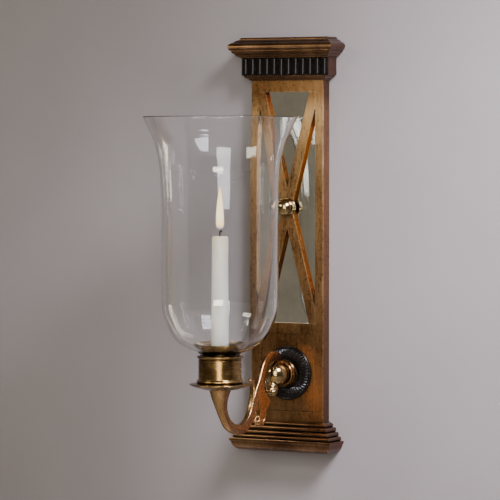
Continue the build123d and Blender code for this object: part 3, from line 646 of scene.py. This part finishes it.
# Middle line of the arm's flat band, as (distance from the wall, height)
BAND_LINE = [
    (29.6, 112), (34, 118.5), (40, 122.3), (49, 124.4), (60, 123.8), (71, 118.5), (79, 108),
    (87, 94), (97, 80), (104, 67), (110, 55), (120, 45), (131, 39.6), (144, 38),
]
# Outline of the leaf behind the arm, as (distance from the wall, height)
PENDANT_LINE = [
    (90, 93), (82.5, 88), (77.5, 80), (72, 74.5), (66.5, 68.5), (72.5, 62.5), (77, 54), (79, 46),
    (84, 39.5), (91.5, 39.5), (95.5, 45), (91, 50.5), (90.5, 58), (92, 66), (94, 76), (94, 86),
]
# Round horn under the drip plate, as (distance, height, radius)
HORN_LINE = [
    (139, 38.2, 5.6), (150, 39.6, 6.3), (159, 42.6, 6.6), (167, 47.2, 6.5), (173, 53, 6.3),
    (178, 60, 6.4), (181.8, 67, 7.2), (184.5, 75, 8.7), (186, 84, 11.2), (186, 92, 13.7),
]
ARM_ROOT = 0.2  # share of the band's line over which its root thickens
ARM_HALF_DEPTH, ROOT_HALF_DEPTH = 6.2, 4.4
ARM_HALF_WIDTH, ROOT_HALF_WIDTH = 4.0, 2.4
ARM_TAPER = (50, 100)  # distances from the wall between which the band grows to its full width


def band_section(depth, width):
    """Flat sides, small bevels and a slightly crowned front and back: (out, across)."""
    bevel, crown = 0.8, 0.5
    quarter = [
        (depth + crown, 0.0), (depth + 0.7 * crown, 0.5 * width),
        (depth, width - bevel), (depth - bevel, width),
    ]
    half = quarter + [(-out, across) for out, across in reversed(quarter)]
    mirrored = [(out, -across) for out, across in reversed(half[1:-1])]
    return half + mirrored


def build_band():
    """Flat S of the arm, thinner at its root and narrower near the wall."""
    stations = spread(BAND_LINE, 120)
    rings = []
    for k, (reach, height) in enumerate(stations):
        run = heading(stations, k)
        root = max(0.0, 1 - k / (len(stations) - 1) / ARM_ROOT)
        depth = ARM_HALF_DEPTH + (ROOT_HALF_DEPTH - ARM_HALF_DEPTH) * root
        grown = min(1.0, max(0.0, (reach - ARM_TAPER[0]) / (ARM_TAPER[1] - ARM_TAPER[0])))
        width = ROOT_HALF_WIDTH + (ARM_HALF_WIDTH - ROOT_HALF_WIDTH) * grown
        rings.append([
            (across * MM, -(reach - out * run.y) * MM, level(height + out * run.x))
            for out, across in band_section(depth, width)
        ])
    band = skin("arm_casting", rings, ARM_BRONZE)
    soften(band, 0.25, 50)
    return band


def build_horn():
    """Round end of the arm that opens under the drip plate."""
    path = [(0, reach, height, radius) for reach, height, radius in spread(HORN_LINE, 60)]
    return skin("arm_horn", tube_rings(path, 48), ARM_BRONZE)


def build_eye():
    """Flat disc at the arm's root, behind the ball, from a section of (distance, radius)."""
    centre = (BALL_LOW + BALL_HIGH) / 2
    rings = []
    section = ((28.0, 15.0), (28.0, 15.5), (28.6, 15.5), (30.4, 15.5), (31.0, 14.9))
    for reach, radius in section:
        rings.append([(centre.x + x * MM, -reach * MM, centre.z + z * MM) for x, z in circle(radius, 64)])
    eye = skin("arm_eye", rings, ARM_BRONZE)
    soften(eye, 0.3)
    return eye


def build_arm():
    """The arm's one casting, shown as its band, its horn and its eye."""
    dressed(build_band(), "sconce", "scroll_arm")
    dressed(build_horn(), "sconce")
    dressed(build_eye(), "sconce")


def both_sides(path):
    """A rib and its mirror image across the arm."""
    return [path, [(-x, reach, height, radius) for x, reach, height, radius in path]]


def closed_line(outline):
    """Smooth closed line through (distance, height) points, with 12 points for each of them."""
    lap, dense_steps = 2, 20
    count = 12 * len(outline)
    loop = outline[-lap:] + outline + outline[:lap + 1]
    dense = spread(loop, dense_steps * (len(loop) - 1) + 1)
    start, length = lap * dense_steps, len(outline) * dense_steps
    return [dense[start + length * k // count] for k in range(count)]


def leaf_plate(name, outline, half_width):
    """Solid leaf with rounded rims, from a closed outline of (distance, height)."""
    points = closed_line(outline)
    count = len(points)
    normals = []
    for k in range(count):
        ahead, behind = points[(k + 1) % count], points[k - 1]
        normals.append(Vector((ahead[1] - behind[1], behind[0] - ahead[0])).normalized())
    rim = ((0.0, 0.9), (0.12, 0.45), (0.4, 0.15), (0.9, 0.0))
    stations = [(half_width - inset, shrink) for inset, shrink in rim]
    stations += [(-x, shrink) for x, shrink in reversed(stations)]
    rings = []
    for x, shrink in stations:
        rings.append([
            (x * MM, -(point[0] + shrink * out.x) * MM, level(point[1] + shrink * out.y))
            for point, out in zip(points, normals)
        ])
    return skin(name, rings, ARM_BRONZE)


PENDANT_SPREAD = 0.78  # the share of their values across at which the pendant's ribs lie


def pendant_ribs():
    """Curled tip, lobes down the back and beads of the leaf behind the arm."""
    ribs = both_sides([
        (3.2, 80.0, 50, 0.5), (3.9, 82.0, 44.4, 1.1), (4.0, 86.0, 41.0, 1.3), (4.0, 91.0, 41.2, 1.3),
        (3.8, 94.2, 44.6, 1.1), (3.2, 93.0, 47.6, 0.8),
    ])
    lobes = ((75.0, 78.5), (70.0, 72.0), (72.0, 64.5), (76.0, 57.0))
    for reach, height in lobes:
        ribs.append([
            (0, reach + 4, height + 2.0, 1.4), (0, reach, height, 2.2), (0, reach - 1.4, height - 2.2, 1.0),
        ])
    beads = ((1.2, 87, 39.8), (3.2, 88.5, 44.8), (1.4, 94.6, 43.6), (3.0, 91.6, 46.8))
    for across, reach, height in beads:
        ribs += both_sides([
            (across, reach, height, 1.3), (across + 0.6, reach + 0.8, height + 1.0, 1.2),
            (across + 0.8, reach + 0.6, height + 2.0, 0.7),
        ])
    return [[(PENDANT_SPREAD * across, *rest) for across, *rest in rib] for rib in ribs]


def build_pendant():
    """Leaf that peels off the back of the arm, with small lobes behind it and a curled tip."""
    carving = cast_ribs("pendant_carving", pendant_ribs(), ARM_BRONZE)
    leaf = leaf_plate("acanthus_pendant", PENDANT_LINE, 3.2)
    soften(leaf, 0.15, 50)
    dressed(leaf, "sconce", "pendant_leaf")
    dressed(carving, "sconce")


# Middle line of the leaf on the arm's front, as (distance, height, half width, half thickness)
THUMB_LINE = [
    (121.0, 51.0, 1.44, 0.3), (115.0, 58.8, 2.88, 0.7), (110.2, 67.0, 3.48, 1.0), (107.4, 75, 3.72, 1.3),
    (105.6, 83, 3.84, 1.6), (105.2, 89.5, 3.84, 1.8), (106.4, 95.0, 3.72, 1.7), (109.6, 98.6, 3.24, 1.3),
    (112.6, 98.4, 2.16, 0.9), (113.6, 96.8, 0.84, 0.6),
]


def build_thumb():
    """Leaf that sheathes the front of the arm and turns its tip outwards."""
    inner_share = 1.6  # its side towards the arm is this much thicker
    stations = spread(THUMB_LINE, 90)
    rings = []
    for k, (reach, height, width, thick) in enumerate(stations):
        run = heading(stations, k)
        ring = []
        for across, lift in circle(1.0, 28):
            lift *= thick * (1.0 if lift > 0 else inner_share)
            ring.append((across * width * MM, -(reach + run.y * lift) * MM, level(height - run.x * lift)))
        rings.append(ring)
    dressed(skin("thumb_acanthus", rings, ARM_BRONZE), "sconce", "thumb_leaf")


ROSETTE_REEDS = 48
ROSETTE_BORE, ROSETTE_RADIUS = 17.0, 34.7
REED_DEPTH = 1.5
# Rounded rim of the ring, as (distance in from its edge, rise from its back)
ROSETTE_RIM = ((0.0, 0.0), (0.0, 1.9), (0.5, 2.7), (1.4, 3.1), (2.3, 2.7), (2.8, 2.1))
# Crest of a reed, as (radius, rise)
REED_CREST = ((31.5, 2.7), (30.2, 3.7), (27.0, 4.6), (23.5, 4.8), (20.0, 4.4), (17.6, 3.4))


def rosette_outline(swell):
    """Section of the ring as (radius, rise); swell is 1 on a reed's crest and 0 between reeds."""
    outline = [(ROSETTE_BORE, 0.0)]
    outline += [(ROSETTE_RADIUS - inset, rise) for inset, rise in ROSETTE_RIM]
    outline += [(radius, rise - REED_DEPTH * (1 - swell)) for radius, rise in REED_CREST]
    return outline + [(ROSETTE_BORE, 2.2)]


def build_rosette():
    """Black ring with a plain rim, and radial reeds between the rim and the dome."""
    reed_steps = 10
    low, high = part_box("rosette_ring")
    centre = (low + high) / 2
    rings = []
    for step, (x, z) in enumerate(circle(1.0, ROSETTE_REEDS * reed_steps)):
        swell = abs(math.cos(math.pi * step / reed_steps)) ** 0.6
        rings.append([
            (centre.x + radius * x * MM, high.y - rise * MM, centre.z + radius * z * MM)
            for radius, rise in rosette_outline(swell)
        ])
    ring = skin("reeded_rosette", rings, SLOT_MATERIALS["ebonised"], capped=False, closed=True)
    dressed(ring, "sconce", "rosette_ring")


BUD_REACH, BUD_HEIGHT = 55.5, 83.5
BUD_RIDGES = 11


def bud_ridge(turn, far):
    """One ridge over the bud from end to end, at a turn round its level axis."""
    shape = (
        (-6.6, 0.30, 1.1), (-5.2, 0.72, 1.5), (-2.4, 0.97, 1.9), (0, 1.03, 2.0),
        (2.4, 0.97, 1.9), (5.2, 0.72, 1.5), (6.6, 0.30, 1.1),
    )
    out, up = far * math.cos(turn), far * math.sin(turn)
    return [
        (across, BUD_REACH + share * out, BUD_HEIGHT + share * up, radius)
        for across, share, radius in shape
    ]


def build_scroll():
    """Curled bud of a leaf between the arm and the ball, ribbed like a shell, with its stalk."""
    reach, height = BUD_REACH, BUD_HEIGHT
    ribs = [[(-5.2, reach, height, 5.2), (0, reach, height, 7.0), (5.2, reach, height, 5.2)]]
    for k in range(BUD_RIDGES):
        far = 7.4 + 0.7 * math.sin(3.1 * k + 0.6)  # a little uneven from ridge to ridge
        ribs.append(bud_ridge(2 * math.pi * k / BUD_RIDGES, far))
    ribs += both_sides([(5.0, reach, height, 2.4), (7.4, reach, height, 2.2)])
    ribs.append([(0, reach + 6, height + 1, 3.4), (0, 70, 86, 3.0), (0, 78, 90, 2.6), (0, 86, 93, 2.2)])
    ribs += both_sides([(2.2, reach + 6, height + 3, 1.9), (2.6, 69, 89, 1.7), (2.2, 77, 94, 1.5)])
    ribs += both_sides([(2.6, reach + 5, height - 3, 1.9), (3.0, 67.5, 81, 1.8), (2.6, 74, 83, 1.6)])
    bud = cast_ribs("leaf_curl", ribs, SLOT_MATERIALS["polished_brass"])
    dressed(bud, "sconce", "leaf_scroll")


# ---------------------------------------------------------------- glass, candle and flame

GLASS_WALL = 2.2
GLASS_NECK_HIGH = 140  # the neck below this height stays true
# Outside of the glass, as (radius, height)
GLASS_LINE = [
    (24.6, 104.3), (24.6, 120), (24.6, 134.8), (28.2, 138), (39, 142.6), (48, 148.2), (55, 154),
    (61.2, 163), (65.8, 173), (69.4, 182), (71.6, 192), (72.6, 203), (72.6, 226), (72.6, 250), (72.6, 280),
    (72.6, 310), (73.4, 343), (75.6, 372), (80.2, 394), (88.4, 414), (95.8, 430),
]


def glass_outline():
    """Outside of the glass, its rounded lip, and its inside one wall further in."""
    outer = spread(GLASS_LINE, 260)
    inner = []
    for k, (radius, height) in enumerate(outer):
        run = heading(outer, k)
        inner.append((radius - GLASS_WALL * run.y, height + GLASS_WALL * run.x))
    middle = (Vector(outer[-1]) + Vector(inner[-1])) / 2
    half = (Vector(outer[-1]) - Vector(inner[-1])) / 2
    lip = []
    for step in range(1, 6):
        turn = math.pi * step / 6
        lip.append((
            middle.x + half.x * math.cos(turn) - half.y * math.sin(turn) * 0.5,
            middle.y + half.y * math.cos(turn) + half.x * math.sin(turn) * 0.5,
        ))
    return outer + lip + inner[::-1]


def glass_wobble(turn, height, radius):
    """How far the hand-blown wall leaves its true radius."""
    if height < GLASS_NECK_HIGH:
        return 0.0
    rise = min(1.0, (height - GLASS_NECK_HIGH) / 40)
    wave = noise.noise(Vector((1.3 * math.cos(turn), 1.3 * math.sin(turn), height * 0.055)))
    slow = noise.noise(Vector((0.6 * math.cos(turn) + 9, 0.6 * math.sin(turn), height * 0.016)))
    return rise * (0.10 * wave + 0.30 * slow)


def build_glass():
    """Blown glass: walls a little uneven, with faint turned waves, and a fire-polished lip."""
    glass = lathe("hurricane_glass", glass_outline(), SLOT_MATERIALS["clear_glass"], 144, glass_wobble)
    dressed(glass, "shade", "glass_shade")


CANDLE_FOOT, CANDLE_SHOULDER = 122, 279
CANDLE_RADIUS, CANDLE_TAPER = 11.33, 1.5
# Soft shoulder and the pool of wax at the head of the candle, as (radius, height)
CANDLE_TOP = [
    (9.72, 280.6), (9.25, 281.9), (8.5, 282.6), (7.6, 282.4), (6.4, 281.4), (4.6, 280.5), (2.4, 280.1),
    (0.0, 280.0),
]
# Runs of wax down the candle, as (turn round it, lowest height, how far it stands out)
WAX_RUNS = ((0.4, 262, 0.55), (2.9, 268, 0.45), (5.0, 255, 0.50))


def candle_outline():
    """Section of the candle as (radius, height), in steps of about 3 mm."""
    outline = [(0.0, 121.4), (10.9, 121.4), (11.3, 121.9)]
    for share in (0.05, 0.2, 0.4, 0.6, 0.75, 0.88, 0.96, 1.0):
        height = CANDLE_FOOT + (CANDLE_SHOULDER - CANDLE_FOOT) * share
        outline.append((CANDLE_RADIUS - CANDLE_TAPER * share, height))
    outline += CANDLE_TOP
    dense = []
    for (r0, h0), (r1, h1) in zip(outline, outline[1:]):
        steps = max(1, int(abs(h1 - h0) / 3))
        dense += [(r0 + (r1 - r0) * k / steps, h0 + (h1 - h0) * k / steps) for k in range(steps)]
    return dense + [outline[-1]]


def candle_wobble(turn, height, radius):
    """How far the wax leaves its true radius: a slight unevenness and the runs."""
    if radius < 0.5:
        return 0.0
    swell = 0.05 * noise.noise(Vector((2 * math.cos(turn), 2 * math.sin(turn), height * 0.05)))
    runs = 0.0
    for angle, bottom, size in WAX_RUNS:
        gap = (turn - angle + math.pi) % (2 * math.pi) - math.pi
        if height > bottom and radius > 7:
            runs += size * math.exp(-(gap / 0.22) ** 2)
    return swell + runs


def build_candle():
    """Dinner candle with a soft shoulder, a small pool of wax and a few short runs."""
    candle = lathe("dinner_candle", candle_outline(), SLOT_MATERIALS["wax"], 72, candle_wobble)
    dressed(candle, "candle", "candle")


def build_wick():
    """Plaited wick, hooked over at its burnt tip."""
    line = spread([
        (0, 279.0, 0.75), (0.0, 283, 0.8), (-0.3, 286, 0.95), (0.1, 288.4, 1.15),
        (1.4, 289.4, 1.2), (2.3, 288.6, 0.9), (2.6, 287.6, 0.5),
    ], 40)
    path = []
    for k, (x, height, radius) in enumerate(line):
        path.append((x, -AXIS.y / MM, height, radius * (1 + 0.12 * math.sin(1.9 * k))))
    wick = skin("burnt_wick", tube_rings(path, 12), SLOT_MATERIALS["wick"])
    dressed(wick, "candle", "wick")


# Section of the flame's bright body, as (radius, height)
FLAME_LINE = [
    (0.0, 291.5), (1.8, 291.9), (3.2, 293.0), (4.0, 295.2), (4.35, 299), (4.35, 305), (4.0, 313),
    (3.3, 322), (2.3, 331), (1.2, 338.5), (0.45, 343), (0.0, 345),
]
MANTLE_FOOT = 289.6


def build_flame():
    """Steady flame: a bright body inside a faint mantle that casts no shadow."""
    foot, tip = FLAME_LINE[0][1], FLAME_LINE[-1][1]
    mantle_line = [
        (1.14 * radius + 0.35 * (radius > 0), MANTLE_FOOT + (height - foot) * 1.045)
        for radius, height in FLAME_LINE
    ]
    for name, glow, line, strength in (
        ("flame_body", "flame_glow", FLAME_LINE, 1.0),
        ("flame_mantle", "flame_mantle", mantle_line, 0.16),
    ):
        piece = lathe(name, spread(line, 48), flame_glow(glow, level(foot), level(tip), strength), 40)
        piece.visible_shadow = False
        dressed(piece, "candle")


build_arm()
build_rosette()
build_pendant()
build_thumb()
build_scroll()
build_glass()
build_candle()
build_wick()
build_flame()


# ---------------------------------------------------------------- stage, light and camera


def plane(name, corners, material):
    """Flat backdrop through four corners."""
    mesh = bpy.data.meshes.new(name)
    mesh.from_pydata(corners, [], [(0, 1, 2, 3)])
    obj = bpy.data.objects.new(name, mesh)
    bpy.context.scene.collection.objects.link(obj)
    obj.data.materials.append(material)
    return obj


def stage_paint(name, low, high, one_sided=False):
    """Matt paint with a faint cloud; one_sided paint can't be seen from behind."""
    s = Shader(name)
    cloud = s.noise(2.2, 4, 0.5)
    s.set(Base_Color=s.ramp(cloud, (0.35, low), (0.65, high)), Roughness=0.85)
    s.set(Specular_IOR_Level=0.2, Normal=s.bump(s.noise(180, 4), 0.2 * MM, 0.25))
    if one_sided:
        geometry = s.tree.nodes.new("ShaderNodeNewGeometry")
        clear = s.tree.nodes.new("ShaderNodeBsdfTransparent")
        switch = s.tree.nodes.new("ShaderNodeMixShader")
        s.link(geometry.outputs["Backfacing"], switch.inputs[0])
        s.link(s.surface.outputs[0], switch.inputs[1])
        s.link(clear.outputs[0], switch.inputs[2])
        s.link(switch.outputs[0], s.output.inputs["Surface"])
    return s.material


def build_stage():
    """Pale floor well below the sconce, and the wall that it hangs on."""
    reach, floor, top = 6.0, GROUND - 0.55, 3.0
    wall_y = cad_bounds[1][1] + 0.6 * MM
    floor_paint = stage_paint("floor_paint", (0.66, 0.64, 0.63), (0.74, 0.72, 0.71))
    wall_paint = stage_paint("wall_paint", (0.150, 0.136, 0.136), (0.171, 0.156, 0.157), one_sided=True)
    floor_corners = [
        (-reach, -reach, floor), (reach, -reach, floor), (reach, reach, floor), (-reach, reach, floor),
    ]
    wall_corners = [
        (-reach, wall_y, floor), (reach, wall_y, floor), (reach, wall_y, top), (-reach, wall_y, top),
    ]
    plane("floor", floor_corners, floor_paint)
    wall = plane("wall", wall_corners, wall_paint)
    wall.visible_shadow = False  # the light behind it reaches the object


def area_light(name, position, target, size, power, colour, size_y=None):
    """Rectangular light, square unless size_y is given, turned towards a target."""
    data = bpy.data.lights.new(name, "AREA")
    data.shape = "RECTANGLE"
    data.size = size
    data.size_y = size_y or size
    data.energy = power
    data.color = colour
    obj = bpy.data.objects.new(name, data)
    obj.location = position
    obj.rotation_euler = (Vector(target) - Vector(position)).to_track_quat("-Z", "Y").to_euler()
    obj.visible_camera = False
    bpy.context.scene.collection.objects.link(obj)
    return obj


def place(azimuth, elevation, distance, height):
    """Point seen from a height on the wall at an azimuth from straight out, positive to the right."""
    turn, rise = math.radians(azimuth), math.radians(elevation)
    flat = distance * math.cos(rise)
    return (flat * math.sin(turn), -flat * math.cos(turn), level(height) + distance * math.sin(rise))


def build_lights():
    """Soft key light at the right, small ones for the cup, the fronts and the wall, and one behind."""
    area_light("key", place(21, 17, 2.4, 250), (0, -0.1, level(250)), 1.0, 46, (1.0, 0.975, 0.97), 1.3)
    area_light("low", place(25, -7.5, 2.4, 240), (0, -0.1, level(150)), 0.72, 13, (1.0, 0.91, 0.72), 0.17)
    area_light("glow", place(-32, 19, 1.5, 430), (0, 0, level(440)), 0.5, 8, (1.0, 0.94, 0.78), 0.30)
    pool = area_light("pool", (0.95, -0.55, level(1150)), (0.32, 0, level(270)), 0.5, 12, (0.91, 0.89, 1.0))
    pool.data.spread = math.radians(52)
    area_light("back", (0.4, 2.4, level(900)), (0, 0, level(280)), 1.8, 24, (1.0, 0.98, 0.96))
    world = bpy.data.worlds.new("studio")
    world.use_nodes = True
    world.node_tree.nodes["Background"].inputs[0].default_value = (0.245, 0.205, 0.158, 1)
    world.node_tree.nodes["Background"].inputs[1].default_value = 0.85
    bpy.context.scene.world = world


def build_camera():
    """Long lens from the right of the wall's normal, just above level."""
    azimuth, elevation = math.radians(30.0), math.radians(2.24)
    distance, aside, height = 3.91, -64.4 * MM, level(258)
    target = Vector((AXIS.x + aside, 0, height))
    back = Vector((
        math.sin(azimuth) * math.cos(elevation),
        -math.cos(azimuth) * math.cos(elevation),
        math.sin(elevation),
    ))
    data = bpy.data.cameras.new("camera")
    data.sensor_width = 36
    data.lens = 216
    camera = bpy.data.objects.new("camera", data)
    camera.location = target + distance * back
    camera.rotation_euler = back.to_track_quat("Z", "Y").to_euler()
    bpy.context.scene.collection.objects.link(camera)
    bpy.context.scene.camera = camera


build_stage()
build_lights()
build_camera()
